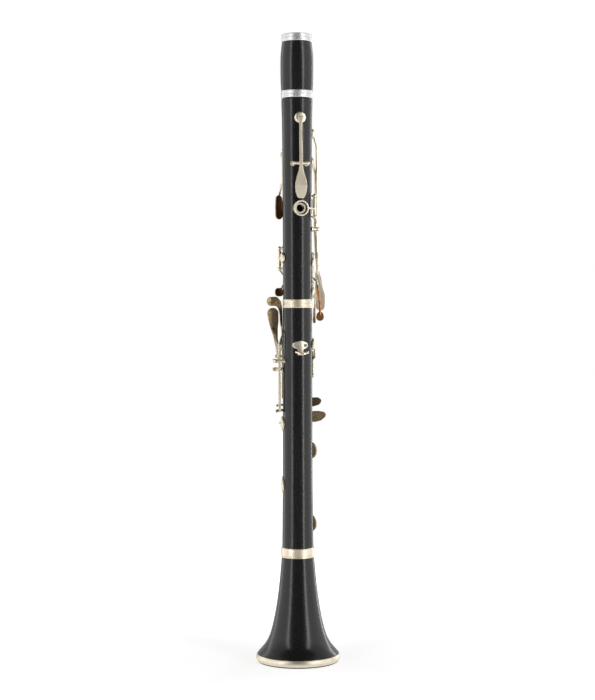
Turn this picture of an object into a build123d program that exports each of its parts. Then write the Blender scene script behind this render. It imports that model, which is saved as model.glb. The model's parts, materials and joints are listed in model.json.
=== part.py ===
from build123d import *
import os
from math import acos, cos, degrees, radians, sin, sqrt

# A Boehm-system B-flat clarinet without its mouthpiece, standing on its bell.
# Millimetres. The bore is the Z axis and the bell's foot is z = 0.
# Places round the bore are given by an angle phi: 0 is the back (thumb side, -Y), 90 the player's
# right (+X), 180 the front (finger holes, +Y) and -90 the player's left (-X).
# A key is drawn in the local frame of one angle: u runs round the instrument towards larger phi,
# v is the height z, and w is the distance from the bore axis.

# ---------------------------------------------------------------- driving dimensions
BELL_TOP = 99.8                 # wooden bell below its socket ring
LOWER_BOTTOM = 109.2            # shoulder of the lower joint on the bell
RING_BOTTOM = 338.6             # socket ring at the top of the lower joint
UPPER_BOTTOM = 347.0            # shoulder of the upper joint
BARREL_BOTTOM = 539.0
TOP = 600.0

BORE_R = 7.4
BELL_SOCKET_R = 12.1
BELL_SOCKET_DEPTH = 18.5
JOINT_SOCKET_R = 11.1
MIDDLE_SOCKET_DEPTH = 22.5
BARREL_SOCKET_DEPTH = 18.0
MOUTHPIECE_SOCKET_DEPTH = 17.5
TENON_GAP = 0.5                 # end of a tenon to the bottom of its socket
CORK_GAP = 0.04                 # running clearance of a cork in its socket
CORK_THICK = 0.9
CORK_MARGIN = 2.5               # bare wood at each end of a tenon

# outside of each wooden piece: (height, radius)
LOWER_OUTLINE = [(109.2, 15.1), (130, 14.8), (170, 14.3), (300, 14.1), (338.6, 14.1)]
UPPER_OUTLINE = [(347, 13.7), (400, 13.85), (430, 13.9), (490, 14.2), (520, 14.5), (537.6, 15.0)]
BARREL_OUTLINE = [(546.2, 15.1), (558, 15.65), (568, 15.75), (576, 15.7), (588, 14.8), (592.8, 14.15)]
BELL_OUTLINE = [(99.8, 15.6), (80, 17.3), (61, 19.5), (43, 22.5), (34, 24.5), (24.7, 27.3),
                (15.5, 32.3), (11, 36.2), (7.4, 39.2)]
BELL_INSIDE = [(81.3, 10.9), (60, 13.0), (40, 17.0), (24, 22.6), (12, 29.5), (4, 34.2), (0, 35.6)]

BELL_FOOT_R = 39.2
BELL_RING_R = 40.4
BELL_RING_LOW = 1.1
BELL_RING_HIGH = 7.2
BELL_RING_IN = 38.4

RING_IN = 12.9                  # inside of the joint and barrel rings
CENTRE_RING_R = 14.15
BELL_TOP_RING_R = 16.05
BELL_TOP_RING_IN = 14.6
BARREL_TOP_RING_R = 14.6
BARREL_TOP_RING_LOW = 592.8
BARREL_LOW_RING_R = 15.5
BARREL_LOW_RING_HIGH = 546.2

# key work
ROD_R = 0.9
TUBE_BORE_R = 0.95
TUBE_R = 1.6
BALL_R = 2.0
POST_R = 1.15
FLANGE_R = 2.5
FLANGE_THICK = 0.9
SPOT_GAP = 0.15                 # spot face round a post's flange
POST_HOLE_R = 0.92
POST_SIDE_GAP = 0.25            # hinge tube to the post beside it
ROD_STANDOFF = 17.4             # rods along the instrument, from the bore axis
BEAD_WIDTH = 1.1                # raised lip round a tone hole
BEAD_HIGH = 0.5
POCKET_GAP = 0.55               # counterbore round a cup
PAD_GAP = 0.1                   # closed pad above its seat
CUP_RIM = 0.35                  # cup rim above the seat
CUP_ROOF = 2.0                  # inside of the cup above the seat
CUP_TOP = 3.4
CUP_WALL = 0.5
ARM_HALF = 0.8                  # half thickness of an arm
FINGER_HOLE_R = 3.6
CHIMNEY_R = 4.9
RING_KEY_OUT = 7.3
RING_KEY_IN = 5.8
RING_KEY_LOW = 15.4             # underside of a closed ring from the bore axis
RING_KEY_THICK = 1.6
CHIMNEY_TOP = 15.6

THUMB_HOLE_Z = 433.5
THUMB_TUBE_R = 5.2
THUMB_HOLE_R = 3.65
UPPER_RING_PHI = 132            # rods of the ring keys
LOWER_RING_PHI = 134
UPPER_FINGER_HOLES = (428, 402, 374)
LOWER_FINGER_HOLES = (318, 293, 268)
REGISTER_VENT_R = 1.2

THUMB_REST_Z = 303.1            # middle of the plate
THUMB_REST_R = 15.4             # its face, from the bore axis
THUMB_HOOK_Z = 294.7            # lowest point of the curved shelf
HOOK_CURVE_R = 15
HOOK_THICK = 1.5
THUMB_SCREWS_U = (-4.85, 4.85)
SCREW_R = 1.0
SCREW_HEAD_R = 1.5

NEEDLE_R = 0.25
NEEDLE_LONG = 9.0
NEEDLE_DROP = 2.2               # below the rod, towards the wood

LEFT_STRIP_R = 17.6             # strips of the left little-finger levers
LEFT_STRIP_HALF = 1.7
TRILL_PHI = 103                 # the two long side levers lie side by side about this angle
TRILL_U = 1.65
BRIDGE_PHI = 147                # the bridge between the two joints' ring keys


# ---------------------------------------------------------------- places and small solids
def outline_radius(outline, z):
    """Radius of a wooden joint at a height, by straight lines between its stations."""
    stations = sorted(outline)
    for (z0, r0), (z1, r1) in zip(stations, stations[1:]):
        if z <= z1:
            return r0 + (r1 - r0) * max(z - z0, 0) / (z1 - z0)
    return stations[-1][1]


def wood_radius(z):
    if z < UPPER_BOTTOM:
        return outline_radius(LOWER_OUTLINE, z)
    return outline_radius(UPPER_OUTLINE, z)


def at(phi, z, radius):
    """The point at an angle, a height and a distance from the bore axis."""
    return Vector(radius * sin(radians(phi)), -radius * cos(radians(phi)), z)


def tangent(phi):
    return Vector(cos(radians(phi)), sin(radians(phi)), 0)


def frame(phi, centre=(0, 0)):
    """Local frame (u, v, w) of an angle, with w outward; centre shifts it sideways in X and Y."""
    outward = at(phi, 0, 1)
    return Plane(origin=(centre[0], centre[1], 0), x_dir=tangent(phi), z_dir=outward)


def local(phi, u, z, w):
    """A point of the frame of an angle, in the instrument's own X, Y, Z."""
    return at(phi, z, w) + tangent(phi) * u


def drum(radius, low, high):
    """A cylinder along Z between two heights."""
    return Pos(0, 0, low) * Cylinder(radius, high - low, align=(Align.CENTER, Align.CENTER, Align.MIN))


def turned(points):
    """A solid of revolution about Z from a closed outline of (radius, height)."""
    face = make_face(Polyline(*[(r, 0, z) for r, z in points], close=True))
    return revolve(face, Axis.Z)


def capsule(start, end, r0, r1):
    """A round arm that tapers from one ball end to another."""
    start, end = Vector(*start), Vector(*end)
    span = end - start
    plane = Plane(origin=start, z_dir=span.normalized())
    cone = plane * Cone(r0, r1, span.length, align=(Align.CENTER, Align.CENTER, Align.MIN)) \
        if abs(r0 - r1) > 0.01 else \
        plane * Cylinder(r0, span.length, align=(Align.CENTER, Align.CENTER, Align.MIN))
    return cone + Pos(start) * Sphere(r0) + Pos(end) * Sphere(r1)


def rod_chain(points, radii):
    """A bent round arm through several points."""
    arm = capsule(points[0], points[1], radii[0], radii[1])
    for start, end, r0, r1 in zip(points[1:], points[2:], radii[1:], radii[2:]):
        arm += capsule(start, end, r0, r1)
    return arm


def chain(points):
    """A flat outline: discs (x, y, radius) joined two by two by their common tangents."""
    sketch = Sketch()
    for x, y, r in points:
        sketch += Pos(x, y) * Circle(r)
    for (x0, y0, r0), (x1, y1, r1) in zip(points, points[1:]):
        reach = sqrt((x1 - x0) ** 2 + (y1 - y0) ** 2)
        along = Vector((x1 - x0) / reach, (y1 - y0) / reach)
        turn = acos((r0 - r1) / reach)
        corners = []
        for side in (1, -1):
            normal = along.rotate(Axis.Z, side * degrees(turn))
            pair = [(x0 + normal.X * r0, y0 + normal.Y * r0), (x1 + normal.X * r1, y1 + normal.Y * r1)]
            corners += pair if side == 1 else pair[::-1]
        sketch += make_face(Polyline(*corners, close=True))
    return sketch


def lever(phi, plan, profile):
    """A cast lever: its outline seen from outside (u, v, half width) cut by its side view
    (v, w, half thickness)."""
    reach = 60
    outline = extrude(chain(plan), reach)
    side = Plane(origin=(-reach / 2, 0, 0), x_dir=(0, 1, 0), z_dir=(1, 0, 0)) * chain(profile)
    return frame(phi) * (outline & extrude(side, reach))


def plate(phi, centre, outline, thick):
    """A finger touch: a flat outline (u, v, radius) that faces the angle phi, centred on (X, Y)."""
    return frame(phi, centre) * Pos(0, 0, -thick / 2) * extrude(chain(outline), thick)


def strap(phi0, phi1, z, width, inner, thick):
    """An arm bent round the instrument at a constant distance from the bore."""
    section = make_face(Polyline((inner, 0, z - width / 2), (inner + thick, 0, z - width / 2),
                                 (inner + thick, 0, z + width / 2), (inner, 0, z + width / 2),
                                 close=True))
    bent = revolve(section, Axis.Z, revolution_arc=phi1 - phi0)
    ends = [Pos(at(phi, z, inner + thick / 2)) * Sphere(min(width, thick) / 2) for phi in (phi0, phi1)]
    return Rot(0, 0, phi0 - 90) * bent + ends[0] + ends[1]


# ---------------------------------------------------------------- tone holes, cups and pads
def seat_radius(z, hole_r):
    """Distance of a pad seat from the bore axis: the lip just fits on the round wood."""
    return sqrt(wood_radius(z) ** 2 - (hole_r + BEAD_WIDTH) ** 2) - 0.1


def tone_hole(phi, z, hole_r, cup_r):
    """What is cut from the wood for a padded hole: the hole, the counterbore and the lip's step."""
    seat = seat_radius(z, hole_r)
    place = frame(phi) * Pos(0, z, 0)
    hole = place * drum(hole_r, 0, seat + 1)
    above = place * drum(cup_r + POCKET_GAP, seat, seat + 8)
    step = place * (drum(cup_r + POCKET_GAP, seat - BEAD_HIGH, seat + 1) -
                    drum(hole_r + BEAD_WIDTH, seat - 1, seat + 2))
    return hole + above + step


def cup(phi, z, hole_r, cup_r):
    seat = seat_radius(z, hole_r)
    top = seat + CUP_TOP
    shell = turned([(0, top), (cup_r * 0.55, top - 0.08), (cup_r - 1.0, top - 0.4),
                    (cup_r - 0.3, top - 0.9), (cup_r, top - 1.6), (cup_r, seat + CUP_RIM),
                    (cup_r - CUP_WALL, seat + CUP_RIM),
                    (cup_r - CUP_WALL, seat + CUP_ROOF), (0, seat + CUP_ROOF)])
    return frame(phi) * Pos(0, z, 0) * shell


def pad(phi, z, hole_r, cup_r):
    seat = seat_radius(z, hole_r)
    r = cup_r - CUP_WALL - 0.02
    disc = turned([(0, seat + PAD_GAP), (r - 0.7, seat + PAD_GAP), (r - 0.2, seat + PAD_GAP + 0.2),
                   (r, seat + PAD_GAP + 0.7), (r, seat + CUP_ROOF - 0.02), (0, seat + CUP_ROOF - 0.02)])
    return frame(phi) * Pos(0, z, 0) * disc


def cup_top(z, hole_r):
    return seat_radius(z, hole_r) + CUP_TOP


# every padded hole: key, angle, height, radius of the hole and of the cup
PADS = {
    "register_key": (0, 519.4, 1.7, 5.5),
    "throat_a_key": (176, 521, 2.8, 5.0),
    "throat_gsharp_key": (-158, 497, 2.8, 4.8),
    "first_finger_ring_key": (180, 414.8, 2.2, 4.0),
    "second_finger_ring_key": (172, 388.3, 2.2, 3.9),
    "csharp_gsharp_key": (-88, 386.7, 3.0, 5.1),
    "eflat_sliver_key": (-139, 386.5, 2.4, 4.2),
    "side_key_1": (88, 354.2, 2.8, 4.8),
    "side_key_2": (90, 381.9, 3.0, 5.2),
    "side_key_3": (108, 478.8, 2.8, 4.9),
    "side_key_4": (101, 505.9, 2.7, 4.8),
    "lower_ring_key": (180, 305.5, 2.6, 4.3),
    "b_fsharp_sliver_key": (88, 303.9, 3.6, 5.8),
    "f_c_key": (117, 201.2, 6.0, 8.25),
    "e_b_key": (117, 130.7, 6.2, 8.3),
    "fsharp_csharp_key": (-105, 169, 6.2, 8.4),
    "aflat_eflat_key": (-99, 227.8, 5.0, 7.1),
}

# hinge of every key: kind, angle, distance from the bore, then the height (cross hinge) or the two
# ends of its tube (rod along the instrument), the sense of its travel about the axis, and the
# travel in degrees. A key that stands open is drawn closed and then turned back by its travel.
HINGES = {
    "register_key": ("cross", 0, 18.4, 475.9, 1, 4.0),
    "thumb_ring_key": ("rod", 62, ROD_STANDOFF, (427.4, 443.7), -1, 3.5),
    "throat_a_key": ("cross", 176, 19.4, 480, 1, 3.4),
    "throat_gsharp_key": ("rod", -142, ROD_STANDOFF, (457.6, 488.3), 1, 9.0),
    "first_finger_ring_key": ("rod", UPPER_RING_PHI, ROD_STANDOFF, (411.7, 435.4), 1, 5.0),
    "second_finger_ring_key": ("rod", UPPER_RING_PHI, ROD_STANDOFF, (353.2, 407.1), 1, 5.0),
    "csharp_gsharp_key": ("rod", -112, ROD_STANDOFF, (378.0, 394.0), -1, 13.0),
    "eflat_sliver_key": ("rod", -163, 17.2, (382.8, 391.2), -1, 11.0),
    "side_key_1": ("rod", 112, 17.3, (351.6, 359.6), 1, 13.0),
    "side_key_2": ("rod", 112, 17.3, (364.4, 388.2), 1, 13.0),
    "side_key_3": ("cross", TRILL_PHI, 19.6, 414.2, 1, 1.9),
    "side_key_4": ("cross", TRILL_PHI, 19.6, 414.2, 1, 1.3),
    "lower_ring_key": ("rod", LOWER_RING_PHI, ROD_STANDOFF, (252.4, 325.6), 1, 5.0),
    "b_fsharp_sliver_key": ("rod", 110, 17.3, (275.2, 293.0), 1, 7.0),
    "f_c_key": ("rod", 158, ROD_STANDOFF, (196.0, 241.6), -1, 13.0),
    "e_b_key": ("rod", 176, ROD_STANDOFF, (126.0, 246.6), -1, 10.0),
    "fsharp_csharp_key": ("rod", -167, ROD_STANDOFF, (164.0, 256.4), -1, 11.0),
    "aflat_eflat_key": ("rod", -150, ROD_STANDOFF, (222.4, 250.2), -1, 9.0),
    "left_f_c_lever": ("cross", -90, 22.0, 288.0, -1, 3.0),
    "left_e_b_lever": ("cross", -113, 22.0, 279.7, -1, 3.0),
    "left_fsharp_csharp_lever": ("cross", -136, 22.0, 292.0, -1, 3.0),
}
STANDS_OPEN = ["thumb_ring_key", "first_finger_ring_key", "second_finger_ring_key", "lower_ring_key",
               "f_c_key", "e_b_key"]
# sideways reach of a cross hinge's tube, in its frame
CROSS_SPAN = {"register_key": (-4.7, 4.7), "throat_a_key": (-3.4, 3.4), "side_key_3": (0.12, 3.2),
              "side_key_4": (-3.2, -0.12)}
CROSS_SPAN_DEFAULT = (-1.7, 1.7)


def hinge_axis(name):
    """Point, unit direction and travel of a key's hinge; turning by the travel works the key."""
    kind, phi, radius, span, sense, travel = HINGES[name]
    if kind == "cross":
        return at(phi, span, radius), tangent(phi) * sense, travel
    return at(phi, (span[0] + span[1]) / 2, radius), Vector(0, 0, sense), travel


def to_rest(name, shape):
    if name not in STANDS_OPEN:
        return shape
    point, direction, travel = hinge_axis(name)
    return shape.rotate(Axis(point, direction), -travel)


def hinge_tube(name):
    kind, phi, radius, span, _, _ = HINGES[name]
    if kind == "rod":
        return Pos(at(phi, 0, radius)) * (drum(TUBE_R, *span) - drum(TUBE_BORE_R, span[0] - 1,
                                                                     span[1] + 1))
    low, high = CROSS_SPAN.get(name, CROSS_SPAN_DEFAULT)
    tube = drum(TUBE_R, low, high) - drum(TUBE_BORE_R, low - 1, high + 1)
    return Plane(origin=at(phi, span, radius), z_dir=tangent(phi)) * tube


def hinge_bore(name):
    """The hole that keeps a hinge tube's bore clear of the arms that join it."""
    kind, phi, radius, span, _, _ = HINGES[name]
    if kind == "rod":
        return Pos(at(phi, 0, radius)) * drum(TUBE_BORE_R, span[0] - 1, span[1] + 1)
    low, high = CROSS_SPAN.get(name, CROSS_SPAN_DEFAULT)
    return Plane(origin=at(phi, span, radius), z_dir=tangent(phi)) * drum(TUBE_BORE_R, low - 1, high + 1)


# ---------------------------------------------------------------- keys, drawn closed
def finger_ring(z, rod_phi):
    """A ring round a finger hole of the front, with its arm from the hinge tube."""
    phi = 180
    low = RING_KEY_LOW
    ring = drum(RING_KEY_OUT, low, low + RING_KEY_THICK) - drum(RING_KEY_IN, low - 1, low + 3)
    placed = frame(phi) * Pos(0, z, 0) * ring
    tube_side = at(rod_phi, z, ROD_STANDOFF)
    ring_side = local(phi, 0.6 - RING_KEY_OUT, z, low + RING_KEY_THICK / 2)
    return placed + capsule(tube_side, ring_side, 1.1, ARM_HALF)


def cup_arm(name):
    """The arm from a key's hinge tube to the top of its cup."""
    phi, z, hole_r, _ = PADS[name]
    _, rod_phi, radius, _, _, _ = HINGES[name]
    return capsule(at(rod_phi, z, radius), at(phi, z, cup_top(z, hole_r)), 1.35, 0.9)


def long_cup_arm(name, side_r):
    """A two-part arm for a cup that lies far round the instrument from its tube."""
    phi, z, hole_r, _ = PADS[name]
    _, rod_phi, radius, _, _, _ = HINGES[name]
    if rod_phi * phi < 0:
        rod_phi += 360
    middle = at((phi + rod_phi) / 2, z, side_r)
    top = at(phi, z, cup_top(z, hole_r))
    return capsule(at(rod_phi, z, radius), middle, 1.4, 1.2) + capsule(middle, top, 1.2, 1.0)


def register_key():
    """The speaker key of the thumb: a long bar over its post bridge, with a teardrop touch."""
    profile = [(519.4, cup_top(519.4, 1.7), 0.9), (510, 17.9, 0.9), (476, 18.7, 1.3), (466, 19.0, 0.9),
               (455, 19.6, 0.8), (443.5, 18.6, 0.8)]
    plan = [(0, 519.4, 2.0), (0, 512, 1.35), (0, 474, 1.5), (0, 468.5, 2.3), (0, 463, 4.0),
            (0, 458, 5.25),
            (0, 454, 5.65), (0, 449.5, 5.2), (0, 446.3, 4.1)]
    return lever(0, plan, profile)


def thumb_ring_key():
    """The ring round the thumb hole."""
    low = 14.9
    ring = drum(7.5, low, low + 1.8) - drum(6.1, low - 1, low + 3)
    ring = frame(0) * Pos(0, THUMB_HOLE_Z, 0) * ring
    tube_side = at(62, THUMB_HOLE_Z, ROD_STANDOFF)
    side = local(0, 6.8, THUMB_HOLE_Z, low + 0.9)
    return ring + capsule(tube_side, side, 1.2, 0.9)


def throat_a_key():
    """The throat A key, along the front, with a spoon touch."""
    plan = [(0, 521, 2.0), (0, 514, 1.7), (0, 474, 1.7), (0.5, 460, 3.2), (1.0, 449, 4.0)]
    profile = [(521, cup_top(521, 2.8), 0.9), (508, 19.0, 0.9), (480, 19.6, 1.3), (468, 19.4, 0.9),
               (449, 17.8, 0.8)]
    return lever(176, plan, profile)


def throat_gsharp_key():
    """The throat G-sharp key: its touch hangs at the edge of the thumb side."""
    phi, z, hole_r, _ = PADS["throat_gsharp_key"]
    over = rod_chain([at(-142, 480.0, 18.0), at(-144, 486.5, 21.0), at(-150, 491.5, 20.6),
                      at(phi, z, cup_top(z, hole_r))], [1.3, 1.0, 1.0, 0.9])
    touch = plate(-150, (-13.6, 14.1), [(2.0, 443.4, 3.9), (1.6, 436.0, 4.8), (1.8, 428.4, 4.4)], 1.4)
    down = rod_chain([at(-142, 460.5, 17.8), at(-142, 457.5, 20.6), at(-143, 453, 21.2),
                      (-14.9, 13.9, 446)], [1.3, 1.0, 1.0, 1.0])
    return over + touch + down


def first_finger_ring_key():
    """The ring of the left first finger, with its small cup above."""
    return finger_ring(UPPER_FINGER_HOLES[0], UPPER_RING_PHI) + cup_arm("first_finger_ring_key")


def second_finger_ring_key():
    """The ring of the left second finger and the upper half of the bridge."""
    tongue = capsule(at(UPPER_RING_PHI, 358.5, ROD_STANDOFF), at(BRIDGE_PHI, 354, 19.2), 1.3, 1.1)
    centre = at(BRIDGE_PHI, 0, 19.2)
    tip = plate(BRIDGE_PHI, (centre.X, centre.Y), [(0, 353, 2.2), (0, 346.5, 2.2)], 1.3)
    return finger_ring(UPPER_FINGER_HOLES[1],
                       UPPER_RING_PHI) + cup_arm("second_finger_ring_key") + tongue + tip


def csharp_gsharp_key():
    """The C-sharp/G-sharp key, with a round touch for the left little finger."""
    touch = plate(-150, (-15.2, 12.8), [(-1.4, 353.9, 4.1), (1.4, 353.9, 4.1)], 1.2)
    down = rod_chain([at(-112, 380.5, ROD_STANDOFF), at(-130, 376, 20.0), at(-148, 370, 18.8),
                      at(-146, 361, 18.8),
                      (-13.4, 13.7, 356.5)], [1.3, 1.1, 1.0, 1.0, 0.9])
    return cup_arm("csharp_gsharp_key") + touch + down


def eflat_sliver_key():
    """The narrow E-flat/B-flat key between the left-hand finger holes."""
    start = at(-163, 385.0, 17.2)
    end = at(178, 381.6, 17.3)
    finger = at(168, 381.2, ROD_STANDOFF)
    touch = capsule(start, end, 1.1, 1.2) + capsule(end, finger, 1.2, 1.3)
    return cup_arm("eflat_sliver_key") + touch


def side_key_1():
    """The lowest side key of the right hand."""
    touch = plate(100, (17.3, 3.0), [(0, 337, 1.9), (0, 327, 3.1)], 1.2)
    bends = [at(112, 355.4, 17.3), at(103, 351, 19.3), at(100, 344, 18.5), Vector(17.4, 3.1, 337.5)]
    down = rod_chain(bends, [1.3, 1.0, 1.0, 0.9])
    return cup_arm("side_key_1") + touch + down


def side_key_2():
    """The second side key, with a small round touch."""
    touch = plate(165, (23.4, 5.2), [(0, 331.5, 3.4), (0, 329.8, 3.75)], 1.4)
    bends = [at(112, 368.5, 17.3), Vector(19.9, 4.5, 364.5), Vector(20.9, 2.5, 357.5),
             Vector(22.9, 4.3, 346), Vector(23.4, 5.15, 332.5)]
    arm = rod_chain(bends, [1.3, 1.15, 1.25, 1.2, 1.1])
    return cup_arm("side_key_2") + touch + arm


def trill_lever(name, side, z_low):
    """One of the two long side levers: its cup is above the hinge and its arm to the touch below."""
    _, phi, radius, z_hinge, _, _ = HINGES[name]
    phi_cup, z_cup, hole_r, _ = PADS[name]
    top = cup_top(z_cup, hole_r)
    u, width = side * TRILL_U, 1.45
    cup_u = top * sin(radians(phi_cup - phi))
    cup_w = top * cos(radians(phi_cup - phi))
    plan = [(cup_u, z_cup, width), (u, z_cup - 13, width), (u, z_low, width)]
    profile = [(z_cup, cup_w, 0.8), (z_cup - 11, 19.9, 0.8), (z_cup - 34, radius + 0.9, 0.8),
               (z_hinge, radius + 0.2, 1.0), (388, radius + 1.2, 0.8), (z_low - 2, radius + 1.2, 0.8)]
    return lever(phi, plan, profile)


def side_key_3():
    """The shorter long side lever, with a leaf touch behind that of its neighbour."""
    touch = plate(175, (24.9, 14.6), [(2.0, 374, 1.8), (0.9, 365, 3.2), (0.4, 357, 4.0)], 1.3)
    bend = local(TRILL_PHI, TRILL_U, 387, 20.9)
    arm = rod_chain([bend, Vector(22.9, 14.6, 375)], [1.1, 1.1])
    return trill_lever("side_key_3", 1, 387) + touch + arm


def side_key_4():
    """The longest side lever, which ends in a broad leaf."""
    leaf = [(3.3, 372, 1.7), (1.9, 361, 2.9), (-0.1, 350.5, 4.6), (0, 340.5, 4.5)]
    touch = plate(175, (24.9, 10.8), leaf, 1.3)
    bend = local(TRILL_PHI, -TRILL_U, 380, 20.7)
    arm = rod_chain([bend, Vector(21.6, 10.8, 372)], [1.3, 1.2])
    return trill_lever("side_key_4", -1, 380) + touch + arm


def lower_ring_key():
    """The three rings of the right hand on one tube, and the lower half of the bridge."""
    rings = [finger_ring(z, LOWER_RING_PHI) for z in LOWER_FINGER_HOLES]
    bridge = capsule(at(LOWER_RING_PHI, 319, ROD_STANDOFF), at(BRIDGE_PHI, 326, 20.6), 1.5, 1.3) + \
        capsule(at(BRIDGE_PHI, 326, 20.6), at(BRIDGE_PHI, 344, 21.9), 1.3, 1.1)
    centre = at(BRIDGE_PHI, 0, 22.0)
    over = plate(BRIDGE_PHI, (centre.X, centre.Y), [(0, 343.5, 2.4), (0, 350.0, 2.4)], 1.3)
    return rings[0] + rings[1] + rings[2] + bridge + over + cup_arm("lower_ring_key")


def b_fsharp_sliver_key():
    """The narrow B/F-sharp key between the right-hand finger holes."""
    bends = [at(110, 281, 17.3), at(122, 281, 21.4), at(146, 280.5, 21.4), at(164, 280.5, 18.6),
             at(174, 280.5, 18.0)]
    touch = rod_chain(bends, [1.2, 1.0, 1.0, 1.0, 1.3])
    top = at(88, 303.9, cup_top(303.9, 3.6))
    return touch + rod_chain([at(110, 289, 17.3), at(97, 292, 18.0), top], [1.3, 1.1, 0.9])


def f_c_key():
    """The F/C key of the right little finger."""
    touch = plate(160, (24.5, 15.1), [(3.6, 232.9, 5.4), (-0.5, 233.4, 4.9), (-4.4, 234.4, 3.2)], 1.6)
    link = capsule(at(158, 233, ROD_STANDOFF), (16.2, 18.1, 233), 1.4, 1.1)
    return long_cup_arm("f_c_key", 18.3) + touch + link


def f_c_tail():
    """The arm of the F/C key that the left-hand lever lifts."""
    riser = capsule(at(158, 239.8, ROD_STANDOFF), at(161, 239.8, 20.4), 1.2, 0.9)
    return strap(160, 272, 239.8, 2.4, 19.8, 1.2) + riser


def e_b_key():
    """The E/B key of the right little finger, at the foot of the lower joint."""
    touch = plate(172, (6.0, 22.2), [(-2.0, 233, 5.0), (2.6, 233, 5.0)], 1.6)
    link = capsule(at(176, 234, ROD_STANDOFF), (4.5, 21.8, 233.5), 1.5, 1.4)
    return long_cup_arm("e_b_key", 19.0) + touch + link


def e_b_tail():
    """The arm of the E/B key that the left-hand lever lifts."""
    riser = capsule(at(176, 244.8, ROD_STANDOFF), at(180, 244.8, 20.4), 1.2, 0.9)
    return strap(178, 249, 244.8, 2.4, 19.8, 1.2) + riser


def fsharp_csharp_key():
    """The F-sharp/C-sharp key of the right little finger, its cup on the left."""
    touch = plate(158, (20.0, 17.2), [(1.6, 247.2, 4.4), (-2.6, 247.9, 3.9), (-4.4, 248.3, 2.6)], 1.6)
    bends = [at(193, 254.7, ROD_STANDOFF), at(188, 255.4, 20.0), at(155, 255.4, 20.8),
             Vector(15.5, 19.2, 250)]
    arm = rod_chain(bends, [1.25, 1.0, 1.0, 1.0])
    riser = capsule(at(193, 252, ROD_STANDOFF), at(195, 252, 20.3), 1.2, 0.8)
    tail = strap(194, 226, 252.0, 2.0, 19.8, 1.2) + riser
    return long_cup_arm("fsharp_csharp_key", 18.4) + touch + arm + tail


def aflat_eflat_key():
    """The A-flat/E-flat key of the right little finger, its cup on the left."""
    touch = plate(172, (5.8, 24.2), [(-1.8, 247.0, 4.3), (2.2, 247.0, 4.3)], 1.6)
    bends = [at(210, 248.4, ROD_STANDOFF), at(206, 248.4, 21.0), at(186, 248.4, 22.6),
             Vector(3.6, 24.0, 247.4)]
    arm = rod_chain(bends, [1.2, 1.0, 1.0, 1.0])
    return long_cup_arm("aflat_eflat_key", 18.4) + touch + arm


REST_PARTS = {"f_c_key": f_c_tail, "e_b_key": e_b_tail}


def left_lever(name, stations):
    """A left little-finger lever: a long strip along stations (v, w), with a lug to its cross hinge."""
    _, phi, radius, z_hinge, _, _ = HINGES[name]
    half, strip_r = LEFT_STRIP_HALF, LEFT_STRIP_R
    plan = [(0, stations[0][0], half), (0, stations[-1][0], half)]
    profile = [(v, w, 0.9) for v, w in stations]
    lug = lever(phi, [(0, z_hinge + 1, 1.6), (0, z_hinge - 1, 1.6)],
                [(z_hinge, radius, TUBE_R), (z_hinge, strip_r + 0.5, 2.0)])
    return lever(phi, plan, profile) + lug


def left_f_c_lever():
    """The lever that works the F/C key: a teardrop touch with a long tapering rib."""
    face = plate(-175, (-21.4, 11.3), [(0.4, 333.4, 5.5), (-0.3, 327.0, 4.9), (-0.9, 319.5, 3.5),
                                       (-2.5, 309.8, 1.8), (-4.5, 301.0, 1.25), (-5.2, 298.5, 1.1)], 1.5)
    arm = capsule(local(-90, 0, 313.5, 22.8), (-21.9, 10.8, 318), 1.3, 1.2)
    stations = [(314, 22.9), (292.5, 18.9), (286, LEFT_STRIP_R), (239.6, LEFT_STRIP_R)]
    return left_lever("left_f_c_lever", stations) + face + arm


def left_e_b_lever():
    """The lever that works the E/B key: an oval touch whose shaft runs down beside the wood."""
    face = plate(-170, (-19.9, 12.7), [(3.4, 345.0, 4.4), (-0.5, 345.1, 4.4), (-3.6, 343.3, 3.3),
                                       (-5.7, 339.0, 2.0), (-6.6, 333.0, 1.4), (-7.0, 321.0, 1.2)], 1.5)
    arm = rod_chain([(-13.0, 13.9, 322), (-12.6, 12.0, 312), at(-115, 303, 17.7)], [1.1, 1.1, 1.2])
    stations = [(304, 17.7), (286, LEFT_STRIP_R), (245, LEFT_STRIP_R)]
    return left_lever("left_e_b_lever", stations) + face + arm


def left_fsharp_csharp_lever():
    """The lever that works the F-sharp/C-sharp key, nearest the front."""
    face = plate(-150, (-10.0, 17.3), [(-1.5, 305.6, 3.5), (1.5, 305.6, 3.5)], 1.5)
    arm = capsule(local(-136, 0, 299, 18.2), (-11.6, 16.3, 303.5), 1.2, 1.1)
    stations = [(299, 18.0), (286, LEFT_STRIP_R), (252, LEFT_STRIP_R)]
    return left_lever("left_fsharp_csharp_lever", stations) + face + arm


KEYS = {
    "register_key": register_key, "thumb_ring_key": thumb_ring_key, "throat_a_key": throat_a_key,
    "throat_gsharp_key": throat_gsharp_key, "first_finger_ring_key": first_finger_ring_key,
    "second_finger_ring_key": second_finger_ring_key, "csharp_gsharp_key": csharp_gsharp_key,
    "eflat_sliver_key": eflat_sliver_key, "side_key_1": side_key_1, "side_key_2": side_key_2,
    "side_key_3": side_key_3, "side_key_4": side_key_4, "lower_ring_key": lower_ring_key,
    "b_fsharp_sliver_key": b_fsharp_sliver_key, "f_c_key": f_c_key, "e_b_key": e_b_key,
    "fsharp_csharp_key": fsharp_csharp_key, "aflat_eflat_key": aflat_eflat_key,
    "left_f_c_lever": left_f_c_lever, "left_e_b_lever": left_e_b_lever,
    "left_fsharp_csharp_lever": left_fsharp_csharp_lever,
}


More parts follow.
